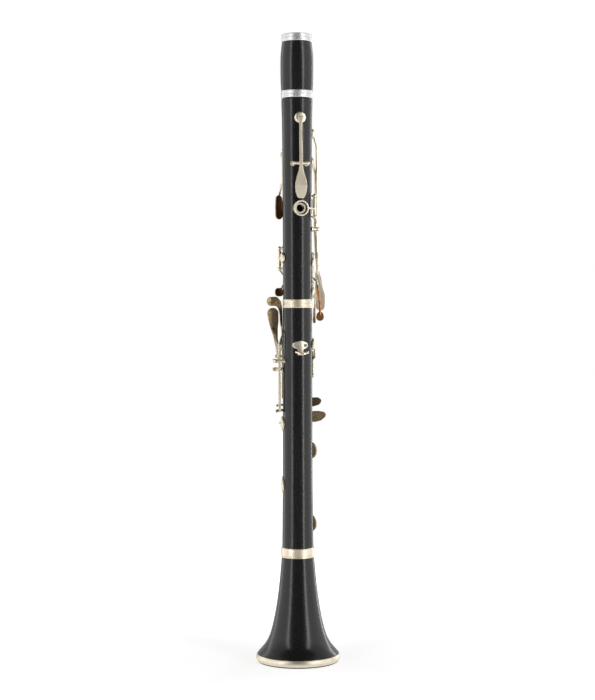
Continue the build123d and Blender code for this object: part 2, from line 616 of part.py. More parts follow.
def finished_key(name):
    shape = KEYS[name]() + hinge_tube(name) - hinge_bore(name)
    if name in PADS:
        phi, z, hole_r, cup_r = PADS[name]
        shape = shape + cup(phi, z, hole_r, cup_r)
        shape -= frame(phi) * Pos(0, z, 0) * drum(cup_r - CUP_WALL, 0, seat_radius(z, hole_r) + CUP_ROOF)
    shape = to_rest(name, shape)
    if name in REST_PARTS:
        shape = shape + REST_PARTS[name]() - hinge_bore(name)
    return shape


# ---------------------------------------------------------------- posts, rods and springs
def hinge_runs():
    """Hinges that share one line, as (across, angle, distance, height) to the spans along it."""
    runs = {}
    for name, (kind, phi, radius, span, _, _) in HINGES.items():
        if kind == "cross":
            runs.setdefault((True, phi, radius, span),
                            []).append(CROSS_SPAN.get(name, CROSS_SPAN_DEFAULT))
        else:
            runs.setdefault((False, phi, radius, 0), []).append(span)
    return {line: sorted(spans) for line, spans in runs.items()}


def run_stations(spans):
    """Places of the posts along one line of hinges."""
    gap = POST_SIDE_GAP + BALL_R * 0.8
    between = [(low[1] + high[0]) / 2 for low, high in zip(spans, spans[1:])
               if high[0] - low[1] > BALL_R]
    return [spans[0][0] - gap, *between, spans[-1][1] + gap]


def post_places():
    """Every ball post: angle of its frame, sideways offset, height, distance of the ball and
    whether the hinge it holds runs across the instrument."""
    places = []
    for (across, phi, radius, z_line), spans in hinge_runs().items():
        for station in run_stations(spans):
            u, z = (station, z_line) if across else (0, station)
            places.append((phi, u, z, radius, across))
    return places


def spot_floor(u, z):
    """Distance of a post's foot from the plane through the bore axis."""
    return sqrt(wood_radius(z) ** 2 - u ** 2) - 0.45


def post(place):
    phi, u, z, radius, across = place
    floor = spot_floor(u, z)
    body = Pos(u, z, 0) * (drum(FLANGE_R, floor, floor + FLANGE_THICK) + drum(POST_R, floor, radius) +
                           Pos(0, 0, radius) * Sphere(BALL_R))
    turn = Rot(0, 90, 0) if across else Rot(90, 0, 0)
    hole = Pos(u, z, radius) * turn * Cylinder(POST_HOLE_R, 3 * BALL_R)
    return frame(phi) * (body - hole)


def spot_face(place):
    phi, u, z, _, _ = place
    floor = spot_floor(u, z)
    return frame(phi) * Pos(u, z, 0) * drum(FLANGE_R + SPOT_GAP, floor, floor + 6)


def hinge_rods():
    """Steel rods and pivot screws, one for each line of posts, slotted at one end."""
    rods = []
    for (across, phi, radius, z_line), spans in hinge_runs().items():
        stations = run_stations(spans)
        low, high = stations[0] - BALL_R + 0.1, stations[-1] + BALL_R + 0.1
        rod = drum(ROD_R, low, high) - Pos(0, 0, high) * Box(0.35, 3, 0.8)
        line = Plane(origin=at(phi, z_line, radius), z_dir=tangent(phi) if across else Vector(0, 0, 1))
        rods.append(line * rod)
    return rods


def needle_springs():
    """Blued needle springs beside the rods, each from a post towards its key."""
    needles = []
    for name, (kind, phi, radius, span, _, _) in HINGES.items():
        if kind == "rod" and span[1] - span[0] > NEEDLE_LONG * 1.5:
            high = span[1] - 1.2
            needles.append(Pos(at(phi, 0, radius - NEEDLE_DROP)) * drum(NEEDLE_R, high - NEEDLE_LONG,
                                                                        high))
    return needles


# ---------------------------------------------------------------- wooden body and its rings
def bell():
    outside = Spline(*[(r, 0, z) for z, r in BELL_OUTLINE])
    inside = Spline(*[(r, 0, z) for z, r in BELL_INSIDE])
    edge = Polyline((BELL_FOOT_R, 0, 7.4), (BELL_RING_IN, 0, BELL_RING_HIGH),
                    (BELL_RING_IN, 0, BELL_RING_LOW), (BELL_FOOT_R, 0, BELL_RING_LOW),
                    (BELL_FOOT_R - 0.6, 0, 0), (35.6, 0, 0))
    top = Polyline((10.9, 0, 81.3), (10.9, 0, LOWER_BOTTOM - BELL_SOCKET_DEPTH),
                   (BELL_SOCKET_R, 0, LOWER_BOTTOM - BELL_SOCKET_DEPTH), (BELL_SOCKET_R, 0, LOWER_BOTTOM),
                   (BELL_TOP_RING_IN, 0, LOWER_BOTTOM), (BELL_TOP_RING_IN, 0, BELL_TOP),
                   (15.6, 0, BELL_TOP))
    return revolve(make_face([outside, edge, inside, top]), Axis.Z)


def bell_rim_ring():
    low, high = BELL_RING_LOW, BELL_RING_HIGH
    middle = (low + high) / 2
    back = Polyline((BELL_FOOT_R, 0, low), (BELL_RING_IN, 0, low), (BELL_RING_IN, 0, high),
                    (39.3, 0, high))
    bulge = ThreePointArc((39.3, 0, high), (BELL_RING_R, 0, middle), (BELL_FOOT_R, 0, low))
    return revolve(make_face([back, bulge]), Axis.Z)


def bell_socket_ring():
    low, high, out = BELL_TOP, LOWER_BOTTOM, BELL_TOP_RING_R
    return turned([(BELL_TOP_RING_IN, low), (out - 0.35, low), (out - 0.1, low + 0.3),
                   (out - 0.1, low + 1.2),
                   (out - 0.45, low + 1.5), (out - 0.45, low + 1.9), (out, low + 2.3), (out, high - 0.5),
                   (out - 0.5, high), (BELL_TOP_RING_IN, high)])


def lower_joint():
    socket_z = UPPER_BOTTOM - MIDDLE_SOCKET_DEPTH
    tenon_z = LOWER_BOTTOM - BELL_SOCKET_DEPTH + TENON_GAP
    cork = CORK_MARGIN
    tenon_r = BELL_SOCKET_R - CORK_GAP - 0.35
    groove_r = BELL_SOCKET_R - CORK_GAP - CORK_THICK
    outline = [(10.3, tenon_z), (tenon_r, tenon_z), (tenon_r, tenon_z + cork), (groove_r, tenon_z + cork),
               (groove_r, LOWER_BOTTOM - cork), (tenon_r, LOWER_BOTTOM - cork), (tenon_r, LOWER_BOTTOM)]
    outline += [(r, z) for z, r in LOWER_OUTLINE]
    outline += [(RING_IN, RING_BOTTOM), (RING_IN, UPPER_BOTTOM), (JOINT_SOCKET_R, UPPER_BOTTOM),
                (JOINT_SOCKET_R, socket_z), (BORE_R, socket_z), (BORE_R, 150)]
    wood = turned(outline)
    for z in LOWER_FINGER_HOLES:
        wood += finger_chimney(z)
    cuts = [frame(180) * Pos(0, z, 0) * drum(FINGER_HOLE_R, 0, 30) for z in LOWER_FINGER_HOLES]
    cuts += [tone_hole(*PADS[name]) for name in PADS if PADS[name][1] < UPPER_BOTTOM]
    cuts += [spot_face(place) for place in post_places() if place[2] < UPPER_BOTTOM]
    return wood - cuts


def upper_joint():
    tenon_low = UPPER_BOTTOM - MIDDLE_SOCKET_DEPTH + TENON_GAP
    tenon_high = BARREL_BOTTOM + BARREL_SOCKET_DEPTH - TENON_GAP
    cork = CORK_MARGIN
    tenon_r = JOINT_SOCKET_R - CORK_GAP - 0.35
    groove_r = JOINT_SOCKET_R - CORK_GAP - CORK_THICK
    outline = [(BORE_R, tenon_low), (tenon_r, tenon_low), (tenon_r, tenon_low + cork),
               (groove_r, tenon_low + cork), (groove_r, UPPER_BOTTOM - cork),
               (tenon_r, UPPER_BOTTOM - cork),
               (tenon_r, UPPER_BOTTOM)]
    outline += [(r, z) for z, r in UPPER_OUTLINE]
    outline += [(14.3, 538.9), (tenon_r, 538.9), (tenon_r, BARREL_BOTTOM + cork),
                (groove_r, BARREL_BOTTOM + cork),
                (groove_r, tenon_high - cork), (tenon_r, tenon_high - cork), (tenon_r, tenon_high),
                (BORE_R, tenon_high)]
    wood = turned(outline)
    for z in UPPER_FINGER_HOLES[:2]:
        wood += finger_chimney(z)
    cuts = [frame(180) * Pos(0, z, 0) * drum(FINGER_HOLE_R, 0, 30) for z in UPPER_FINGER_HOLES]
    cuts.append(frame(0) * Pos(0, THUMB_HOLE_Z, 0) * drum(THUMB_TUBE_R, 0, 30))
    cuts += [tone_hole(*PADS[name]) for name in PADS if PADS[name][1] > UPPER_BOTTOM]
    cuts += [spot_face(place) for place in post_places() if place[2] > UPPER_BOTTOM]
    return wood - cuts


def finger_chimney(z):
    """A raised lip of wood round a finger hole that stands inside a ring key."""
    return frame(180) * Pos(0, z, 0) * drum(CHIMNEY_R, 12, CHIMNEY_TOP)


def thumb_tube():
    """Metal chimney of the thumb hole."""
    tube = drum(THUMB_TUBE_R - 0.02, 8.2, 15.4) - drum(THUMB_HOLE_R, 0, 20)
    return frame(0) * Pos(0, THUMB_HOLE_Z, 0) * tube


def register_tube():
    """Metal liner of the register vent, reaching into the bore."""
    _, z, hole_r, _ = PADS["register_key"]
    liner = drum(hole_r - 0.02, BORE_R - 1.8, seat_radius(z, hole_r) - 0.1)
    return frame(0) * Pos(0, z, 0) * (liner - drum(REGISTER_VENT_R, 5, 20))


def cork(low, high, socket_r):
    outer = socket_r - CORK_GAP
    return drum(outer, low, high) - drum(socket_r - CORK_GAP - CORK_THICK + 0.01, low - 1, high + 1)


def barrel():
    socket_high = TOP - MOUTHPIECE_SOCKET_DEPTH
    socket_low = BARREL_BOTTOM + BARREL_SOCKET_DEPTH
    profile = Spline(*[(r, 0, z) for z, r in BARREL_OUTLINE])
    rest = Polyline((14.15, 0, BARREL_TOP_RING_LOW), (RING_IN, 0, BARREL_TOP_RING_LOW),
                    (RING_IN, 0, TOP - 0.6),
                    (JOINT_SOCKET_R, 0, TOP - 0.6), (JOINT_SOCKET_R, 0, socket_high),
                    (BORE_R, 0, socket_high),
                    (BORE_R, 0, socket_low), (JOINT_SOCKET_R, 0, socket_low),
                    (JOINT_SOCKET_R, 0, BARREL_BOTTOM),
                    (RING_IN, 0, BARREL_BOTTOM), (RING_IN, 0, BARREL_LOW_RING_HIGH),
                    (15.1, 0, BARREL_LOW_RING_HIGH))
    return revolve(make_face([profile, rest]), Axis.Z)


def grooved_ring(inner, outer, low, high, grooves):
    """A metal ring with softened edges and fine turned lines."""
    points = [(inner, low), (outer - 0.35, low), (outer, low + 0.35)]
    for z in grooves:
        points += [(outer, z - 0.16), (outer - 0.18, z), (outer, z + 0.16)]
    points += [(outer, high - 0.35), (outer - 0.35, high), (inner, high)]
    return turned(points)


def barrel_top_ring():
    outer = grooved_ring(RING_IN, BARREL_TOP_RING_R, BARREL_TOP_RING_LOW, TOP, [594.6, 595.3])
    lip = drum(RING_IN, TOP - 0.6, TOP) - drum(JOINT_SOCKET_R, TOP - 1, TOP + 1)
    return outer + lip


# ---------------------------------------------------------------- thumb rest
def thumb_rest():
    """An oval plate on the back with a neck down to a curved shelf for the thumb."""
    z, hook_z = THUMB_REST_Z, THUMB_HOOK_Z
    low, high = hook_z - 1, z + 5
    sleeve = drum(THUMB_REST_R, low, high) - drum(wood_radius(low) + 0.02, low - 1, high + 1)
    oval = chain([(-4.5, z + 0.2, 3.0), (0, z, 4.4), (4.5, z + 0.2, 3.0)]) + \
        chain([(0, z - 1.5, 3.2), (0, z - 5, 2.4), (0, hook_z + 1, 3.0)])
    base = sleeve & frame(0) * Pos(0, 0, 8) * extrude(oval, 12)
    curve = Circle(HOOK_CURVE_R) - Circle(HOOK_CURVE_R - HOOK_THICK)
    shelf = extrude(Pos(0, hook_z + HOOK_CURVE_R) * curve, 40)
    outline = chain([(0, 18.3, 3.6), (0, 21.8, 6.6)])
    reach = Plane(origin=(0, hook_z + 8, 0), x_dir=(1, 0, 0), z_dir=(0, -1, 0)) * extrude(outline, 10)
    screws = [frame(0) * Pos(u, z, 0) * drum(SCREW_R, 5, 30) for u in THUMB_SCREWS_U]
    recesses = [frame(0) * Pos(u, z, 0) * drum(SCREW_HEAD_R + 0.05, 14.7, 30) for u in THUMB_SCREWS_U]
    return base + frame(0) * (shelf & reach) - screws - recesses


def thumb_rest_screws():
    screws = []
    for u in THUMB_SCREWS_U:
        head = drum(SCREW_HEAD_R, 14.72, 15.5) - Pos(0, 0, 15.5) * Box(0.4, 4, 0.6)
        screws.append(frame(0) * Pos(u, THUMB_REST_Z, 0) * head)
    return screws


# ---------------------------------------------------------------- files
def save(node, shape):
    solids = [piece for item in (shape if isinstance(shape,
                                                     list) else [shape]) for piece in item.solids()]
    export_step(solids[0] if len(solids) == 1 else Compound(children=solids), f"parts/{node}.step")


def main():
    os.makedirs("parts", exist_ok=True)
    places = post_places()
    nodes = {
        "bell": bell(), "bell_rim_ring": bell_rim_ring(), "bell_socket_ring": bell_socket_ring(),
        "lower_joint": lower_joint(), "upper_joint": upper_joint(),
        "lower_socket_ring": grooved_ring(RING_IN, CENTRE_RING_R, RING_BOTTOM, UPPER_BOTTOM,
                                          [341.4, 342.8, 344.2]),
        "bell_tenon_cork": cork(LOWER_BOTTOM - BELL_SOCKET_DEPTH + TENON_GAP + CORK_MARGIN,
                                LOWER_BOTTOM - CORK_MARGIN, BELL_SOCKET_R),
        "middle_tenon_cork": cork(UPPER_BOTTOM - MIDDLE_SOCKET_DEPTH + TENON_GAP + CORK_MARGIN,
                                  UPPER_BOTTOM - CORK_MARGIN, JOINT_SOCKET_R),
        "barrel_tenon_cork": cork(BARREL_BOTTOM + CORK_MARGIN,
                                  BARREL_BOTTOM + BARREL_SOCKET_DEPTH - TENON_GAP - CORK_MARGIN,
                                  JOINT_SOCKET_R),
        "barrel": barrel(), "barrel_top_ring": barrel_top_ring(),
        "barrel_bottom_ring": grooved_ring(RING_IN, BARREL_LOW_RING_R, BARREL_BOTTOM,
                                           BARREL_LOW_RING_HIGH,
                                           [540.6, 541.4, 542.2, 543.0]),
        "thumb_tube": thumb_tube(), "register_tube": register_tube(),
        "thumb_rest": thumb_rest(), "thumb_rest_screws": thumb_rest_screws(),
        "upper_posts": [post(place) for place in places if place[2] > UPPER_BOTTOM],
        "lower_posts": [post(place) for place in places if place[2] < UPPER_BOTTOM],
        "hinge_rods": hinge_rods(), "needle_springs": needle_springs(),
    }
    for name in KEYS:
        nodes[name] = finished_key(name)
    for name, place in PADS.items():
        nodes[name.replace("_key", "") + "_pad"] = to_rest(name, pad(*place))
    for node, shape in nodes.items():
        save(node, shape)


if __name__ == "__main__":
    main()
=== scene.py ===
import json
import math

import bpy
import numpy as np
from mathutils import Matrix, Vector

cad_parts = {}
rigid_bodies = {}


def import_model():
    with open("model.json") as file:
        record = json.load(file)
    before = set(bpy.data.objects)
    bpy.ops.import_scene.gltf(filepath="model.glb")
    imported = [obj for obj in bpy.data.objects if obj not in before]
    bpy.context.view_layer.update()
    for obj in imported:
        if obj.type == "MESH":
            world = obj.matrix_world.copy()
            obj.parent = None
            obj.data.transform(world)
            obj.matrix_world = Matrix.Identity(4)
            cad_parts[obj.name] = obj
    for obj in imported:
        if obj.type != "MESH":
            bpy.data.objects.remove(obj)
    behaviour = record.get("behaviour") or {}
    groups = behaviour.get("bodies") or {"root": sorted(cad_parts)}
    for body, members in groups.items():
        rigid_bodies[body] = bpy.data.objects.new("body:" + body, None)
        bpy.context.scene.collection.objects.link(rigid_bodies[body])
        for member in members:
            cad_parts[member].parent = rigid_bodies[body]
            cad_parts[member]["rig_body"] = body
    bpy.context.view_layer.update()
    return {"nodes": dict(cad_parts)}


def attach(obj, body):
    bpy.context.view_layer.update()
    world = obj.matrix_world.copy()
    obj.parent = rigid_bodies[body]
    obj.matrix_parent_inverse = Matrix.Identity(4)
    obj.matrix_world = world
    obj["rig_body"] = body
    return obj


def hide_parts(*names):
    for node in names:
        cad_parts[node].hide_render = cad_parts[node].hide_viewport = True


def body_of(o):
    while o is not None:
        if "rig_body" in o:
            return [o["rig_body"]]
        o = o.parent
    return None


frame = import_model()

# A B-flat clarinet standing on its bell, seen from the thumb side. Metres; +Z up; the bore is the
# Z axis. The thumb side faces -Y and the player's right hand side is +X.

# ---------------------------------------------------------------- camera and studio
VIEW_AZIMUTH = -11.5            # degrees round the bore, 0 looks along +Y
VIEW_DISTANCE = 1.6
VIEW_HEIGHT = 0.343
AIM = Vector((0.0001, 0.0, 0.3207))
LENS_MM = 85.8
SHIFT_Y = -0.0333               # the view is shifted down rather than tilted further
LEAN = -0.13                    # degrees of roll
CLIP_NEAR = 0.05
CLIP_FAR = 20

LAMP_LENGTH = 1.7
LAMP_HEIGHT = 0.62              # of a lamp's middle
LAMP_WATTS = 4                  # per square metre of a lamp of strength 1
PANEL_DISTANCE = 0.95
PANEL_WIDTH = 1.5
PANEL_STRENGTH = 0.45
STRIP_DISTANCE = 1.2
STRIP_WIDTH = 0.16
# (name, degrees round the bore from the camera's side, distance, width, strength)
LAMPS = (
    ("panel_left", -85, PANEL_DISTANCE, PANEL_WIDTH, PANEL_STRENGTH),
    ("strip_43", -43, STRIP_DISTANCE, STRIP_WIDTH, 4.0),
    ("strip_126", -126, STRIP_DISTANCE, STRIP_WIDTH, 1.6),
    ("panel_right", 85, PANEL_DISTANCE, PANEL_WIDTH, PANEL_STRENGTH),
    ("strip_45", 45, STRIP_DISTANCE, STRIP_WIDTH, 5.4),
    ("strip_138", 138, STRIP_DISTANCE, STRIP_WIDTH, 3.4),
)

# brightness of the surroundings, as reflections see it
SIDE_LIGHT = 0.62
FRONT_LIGHT = 0.16
CEILING_LIGHT = 0.10
FLOOR_LIGHT = 1.0
FRONT_EDGE = (0.60, 0.76)       # from the sides to the front: cosine of the angle to the camera
CEILING_EDGE = (0.40, 0.72)     # from the sides to the ceiling: sine of the elevation
FLOOR_EDGE = (-0.12, -0.34)     # from the sides to the floor: sine of the elevation

FLOOR_RADIUS = 3.0
FLOOR_SIDES = 96
FLOOR_GREY = (0.62, 0.62, 0.618, 1.0)
# the floor's glow is weaker near the bore: painted shade round the bell
GLOW_REACH = (0.08, 0.5)        # distances from the bore between which the floor's glow grows
GLOW = (0.62, 1.0)
WHITE = (1.0, 1.0, 1.0, 1.0)

# ---------------------------------------------------------------- colours (linear)
WOOD_DARK = (0.0048, 0.0046, 0.0045)
WOOD_BROWN = (0.0135, 0.0098, 0.0085)
WOOD_PORE = (0.002, 0.002, 0.002)
NICKEL = (0.79, 0.715, 0.575)
NICKEL_DULL = (0.64, 0.56, 0.42)
SILVER = (0.74, 0.75, 0.745)
SILVER_DULL = (0.60, 0.61, 0.60)
COPPER = (0.52, 0.29, 0.135)
COPPER_BROWN = (0.30, 0.145, 0.068)
OLIVE = (0.46, 0.36, 0.21)
OLIVE_DARK = (0.24, 0.185, 0.10)
TARNISH = (0.36, 0.27, 0.165)
TARNISH_DARK = (0.17, 0.12, 0.07)
STEEL = (0.62, 0.61, 0.585)
STEEL_DULL = (0.36, 0.35, 0.33)
BLUED = (0.055, 0.075, 0.125)
BLUED_BROWN = (0.11, 0.08, 0.06)
SKIN = (0.56, 0.41, 0.255)
SKIN_STAIN = (0.30, 0.185, 0.10)
CORK = (0.52, 0.33, 0.175)
CORK_PALE = (0.62, 0.43, 0.26)
CORK_DARK = (0.22, 0.115, 0.05)

# worn finishes: (bright, dark, roughness where bright, roughness where dark)
COPPER_TOUCH = (COPPER, COPPER_BROWN, 0.30, 0.45)
OLIVE_TOUCH = (OLIVE, OLIVE_DARK, 0.34, 0.52)
TARNISHED_TOUCH = (TARNISH, TARNISH_DARK, 0.36, 0.55)
RIBS = 320                      # scale of the ribs on the tarnished touches
# (key, material, finish, (axis, from, to) over which it takes the plating's place, ribs)
WORN_KEYS = (
    ("throat_gsharp_key", "worn_copper_gsharp", COPPER_TOUCH, ("Z", 0.4505, 0.446), 0),
    ("csharp_gsharp_key", "worn_copper_csharp", COPPER_TOUCH, ("Z", 0.361, 0.357), 0),
    ("side_key_1", "worn_copper_side", COPPER_TOUCH, ("Z", 0.341, 0.337), 0),
    ("side_key_2", "worn_copper_side_2", COPPER_TOUCH, ("Z", 0.361, 0.358), 0),
    ("left_f_c_lever", "antique_brass_f_c", OLIVE_TOUCH, ("Z", 0.300, 0.312), 0),
    ("left_e_b_lever", "antique_brass_e_b", OLIVE_TOUCH, ("Z", 0.318, 0.328), 0),
    ("f_c_key", "tarnished_f_c", TARNISHED_TOUCH, ("Z", 0.222, 0.226), RIBS),
    ("fsharp_csharp_key", "tarnished_fsharp_csharp", TARNISHED_TOUCH, ("X", 0.010, 0.014), RIBS),
)

# ---------------------------------------------------------------- shapes
WELD_DISTANCE = 0.000002
CAST_VOXEL = 0.00018            # grain of a cast key's rounded mesh
CAST_FACTOR = 0.5
CAST_PASSES = 5

# half section of a pad: (share of its radius, share of its thickness from the tone hole's side)
PAD_SECTION = ((0.0, 0.03), (0.30, 0.0), (0.52, 0.02), (0.60, 0.09), (0.66, 0.17), (0.71, 0.18),
               (0.76, 0.12), (0.82, 0.04), (0.90, 0.02), (0.955, 0.07), (0.985, 0.18), (1.0, 0.36),
               (0.995, 0.62), (0.985, 0.86), (0.96, 1.0), (0.5, 1.0), (0.0, 1.0))
PAD_STEPS = 72
PAD_PUCKERS = 26
PAD_PUCKER = 0.012              # depth, as a share of the radius
PAD_EDGE = 0.9                  # share of the radius beyond which the skin is puckered

# outside of a band ring: (share of its height, metres inside its widest radius)
RING_SECTION = ((0.0, 0.0005), (0.03, 0.00012), (0.07, 0.0), (0.13, 0.0), (0.16, 0.0005),
                (0.21, 0.0005), (0.24, 0.00005), (0.38, 0.00005), (0.41, 0.00045), (0.46, 0.00045),
                (0.49, 0.00004), (0.52, 0.00004), (0.55, 0.00045), (0.60, 0.00045), (0.63, 0.00005),
                (0.76, 0.00005), (0.79, 0.0005), (0.84, 0.0005), (0.87, 0.0), (0.93, 0.0),
                (0.97, 0.00012), (1.0, 0.0005))
RING_STEPS = 144
RING_CREASE = 38                # degrees between two faces from which their edge is sharp


# ---------------------------------------------------------------- node trees
class Nodes:
    """A node tree under construction. place is the position that its patterns use."""

    def __init__(self, tree, place):
        self.tree = tree
        self.place = self.add("ShaderNodeTexCoord").outputs[place]

    def add(self, kind, inputs=None, **settings):
        node = self.tree.nodes.new(kind)
        for key, value in settings.items():
            setattr(node, key, value)
        for socket, value in (inputs or {}).items():
            if isinstance(value, bpy.types.NodeSocket):
                self.tree.links.new(value, node.inputs[socket])
            else:
                node.inputs[socket].default_value = value
        return node

    def stretched(self, x, y, z):
        """The place, scaled along each axis."""
        inputs = {"Vector": self.place, "Scale": (x, y, z)}
        return self.add("ShaderNodeMapping", inputs).outputs["Vector"]

    def noise(self, scale, detail=2.0, rough=0.5, place=None):
        inputs = {"Vector": place or self.place, "Scale": scale,
                  "Detail": detail, "Roughness": rough}
        return self.add("ShaderNodeTexNoise", inputs).outputs["Fac"]

    def cells(self, scale):
        inputs = {"Vector": self.place, "Scale": scale}
        return self.add("ShaderNodeTexVoronoi", inputs).outputs["Distance"]

    def remap(self, value, low, high, to_low=0.0, to_high=1.0):
        inputs = {"Value": value, "From Min": low, "From Max": high,
                  "To Min": to_low, "To Max": to_high}
        node = self.add("ShaderNodeMapRange", inputs, interpolation_type="SMOOTHSTEP")
        return node.outputs["Result"]

    def calc(self, operation, a, b):
        return self.add("ShaderNodeMath", {0: a, 1: b}, operation=operation).outputs["Value"]

    def tint(self, share, a, b):
        """Colour a where share is 0 and colour b where it is 1."""
        a, b = (c if isinstance(c, bpy.types.NodeSocket) else (*c, 1.0) for c in (a, b))
        inputs = {"Factor": share, 6: a, 7: b}
        return self.add("ShaderNodeMix", inputs, data_type="RGBA").outputs[2]

    def between(self, share, a, b):
        """Number a where share is 0 and number b where it is 1."""
        inputs = {"Factor": share, 2: a, 3: b}
        return self.add("ShaderNodeMix", inputs, data_type="FLOAT").outputs["Result"]

    def axis(self, name):
        return self.add("ShaderNodeSeparateXYZ", {"Vector": self.place}).outputs[name]


class Surface(Nodes):
    """A Principled material under construction, its patterns in object coordinates (metres)."""

    def __init__(self, name, **sockets):
        self.material = bpy.data.materials.new(name)
        self.material.use_nodes = True
        super().__init__(self.material.node_tree, "Object")
        self.shader = self.tree.nodes["Principled BSDF"]
        for socket, value in sockets.items():
            self.shader.inputs[socket.replace("_", " ")].default_value = value

    def finish(self, colour, roughness, height, depth):
        """Links the three patterns; depth is the height of the relief in metres."""
        inputs = {"Height": height, "Distance": depth, "Strength": 1.0}
        patterns = {"Base Color": colour, "Roughness": roughness,
                    "Normal": self.add("ShaderNodeBump", inputs).outputs["Normal"]}
        for socket, value in patterns.items():
            self.tree.links.new(value, self.shader.inputs[socket])
        return self.material


# ---------------------------------------------------------------- materials
def grenadilla():
    """Near-black polished wood: brown streaks along the bore, fine open pores and a soft gloss."""
    s = Surface("grenadilla", Specular_IOR_Level=0.45)
    streaks = s.noise(900, 3, 0.6, s.stretched(1, 1, 0.035))
    broad = s.noise(90, 2, 0.5, s.stretched(1, 1, 0.12))
    pores = s.noise(3600, 2, 0.55, s.stretched(1, 1, 0.05))
    open_pores = s.remap(pores, 0.34, 0.42, 1, 0)
    brown = s.calc("MULTIPLY", s.remap(streaks, 0.45, 0.75), s.remap(broad, 0.3, 0.7))
    colour = s.tint(open_pores, s.tint(brown, WOOD_DARK, WOOD_BROWN), WOOD_PORE)
    roughness = s.calc("ADD", s.remap(streaks, 0.3, 0.75, 0.19, 0.26),
                       s.calc("MULTIPLY", open_pores, 0.14))
    height = s.calc("SUBTRACT", s.calc("MULTIPLY", streaks, 0.6), open_pores)
    return s.finish(colour, roughness, height, depth=0.000005)


def plating(s, bright, dull, fine=0.34, worn=0.45):
    """Polished plating with dull clouds and fine scratches: colour, roughness and height."""
    clouds = s.noise(160, 5, 0.62)
    spots = s.remap(s.noise(1300, 3, 0.6), 0.58, 0.72)
    scratches = s.noise(2600, 2, 0.5, s.stretched(1, 0.25, 0.06))
    dulled = s.remap(clouds, 0.42, 0.72)
    share = s.calc("MAXIMUM", s.calc("MULTIPLY", dulled, 0.6), s.calc("MULTIPLY", spots, 0.35))
    colour = s.tint(share, bright, dull)
    roughness = s.calc("ADD", s.between(dulled, fine, worn),
                       s.remap(scratches, 0.4, 0.7, 0.0, 0.07))
    return colour, roughness, s.calc("ADD", scratches, s.calc("MULTIPLY", spots, 0.4))


def worn_through(s, bright, dark, rough_low, rough_high):
    """Bare metal handled for years: brown patches, pits and a greasy dullness."""
    patches = s.noise(420, 6, 0.7)
    pits = s.remap(s.noise(2400, 3, 0.6), 0.60, 0.70)
    share = s.calc("MAXIMUM", s.remap(patches, 0.38, 0.66), s.calc("MULTIPLY", pits, 0.85))
    colour = s.tint(share, bright, dark)
    roughness = s.between(share, rough_low, rough_high)
    return colour, roughness, s.calc("SUBTRACT", s.calc("MULTIPLY", patches, 0.5), pits)


def key_metal(name, touch=None, edge=None, ribs=0):
    """Nickel-silver key work. touch is the finish of the part that a finger has worn, and edge is
    (axis, from, to): where that finish takes the plating's place, with a ragged border."""
    s = Surface(name, Metallic=1.0)
    colour, roughness, height = plating(s, NICKEL, NICKEL_DULL)
    if touch:
        other, other_rough, other_height = worn_through(s, *touch)
        axis, start, end = edge
        ragged = s.remap(s.noise(350, 4, 0.6), 0.3, 0.7, -0.003, 0.003)
        place = s.calc("ADD", s.axis(axis), ragged)
        ends = (0, 1) if end > start else (1, 0)
        worn = s.remap(place, min(start, end), max(start, end), *ends)
        if ribs:
            inputs = {"Vector": s.place, "Scale": ribs, "Distortion": 1.5, "Detail": 1.0}
            wave = s.add("ShaderNodeTexWave", inputs, bands_direction="DIAGONAL").outputs["Fac"]
            other_height = s.calc("ADD", s.calc("MULTIPLY", wave, 2.5), other_height)
        colour = s.tint(worn, colour, other)
        roughness = s.between(worn, roughness, other_rough)
        height = s.between(worn, height, other_height)
    return s.finish(colour, roughness, height, depth=0.000012)


def turned_ring(name, bright, dull):
    """A plated ring with fine lines left by the lathe."""
    s = Surface(name, Metallic=1.0)
    colour, roughness, height = plating(s, bright, dull, 0.36, 0.46)
    lines = s.noise(5200, 1, 0.5, s.stretched(0.01, 0.01, 1))
    height = s.calc("ADD", s.calc("MULTIPLY", lines, 2.4), height)
    return s.finish(colour, roughness, height, depth=0.00002)


def bare_steel(name, bright, dull):
    s = Surface(name, Metallic=1.0)
    colour, roughness, height = plating(s, bright, dull, 0.26, 0.45)
    return s.finish(colour, roughness, height, depth=0.000008)


def pad_skin():
    """Bladder skin over felt: tan, finely wrinkled and stained in patches."""
    s = Surface("pad_skin", Sheen_Weight=0.15)
    wrinkles = s.cells(1500)
    stains = s.remap(s.noise(260, 4, 0.6), 0.42, 0.68)
    colour = s.tint(stains, SKIN, SKIN_STAIN)
    roughness = s.remap(s.noise(900, 2), 0.3, 0.7, 0.42, 0.62)
    height = s.calc("ADD", wrinkles, s.noise(5000, 2))
    return s.finish(colour, roughness, height, depth=0.00003)


def tenon_cork():
    """Cork with pale grains and dark flecks."""
    s = Surface("cork")
    grains = s.cells(750)
    flecks = s.remap(s.noise(520, 4, 0.7, s.stretched(1, 1, 0.5)), 0.56, 0.66)
    colour = s.tint(flecks, s.tint(s.remap(grains, 0.1, 0.7), CORK, CORK_PALE), CORK_DARK)
    roughness = s.remap(grains, 0.0, 0.7, 0.62, 0.85)
    return s.finish(colour, roughness, s.calc("SUBTRACT", grains, flecks), depth=0.00006)


def make_materials():
    """Material of every CAD node, by name."""
    nickel = key_metal("nickel_key")
    by_slot = {"grenadilla": grenadilla(), "cork": tenon_cork(), "pad_skin": pad_skin(),
               "silver_ring": turned_ring("silver_ring", SILVER, SILVER_DULL),
               "nickel_ring": turned_ring("nickel_ring", NICKEL, NICKEL_DULL),
               "steel": bare_steel("steel", STEEL, STEEL_DULL),
               "blued_steel": bare_steel("blued_steel", BLUED, BLUED_BROWN)}
    worn = {key: key_metal(name, touch, edge, ribs)
            for key, name, touch, edge, ribs in WORN_KEYS}
    made = {}
    for name, node in frame["nodes"].items():
        slot = node.material_slots[0].material.name.split(".")[0]
        made[name] = worn.get(name) or by_slot.get(slot, nickel)
    return made


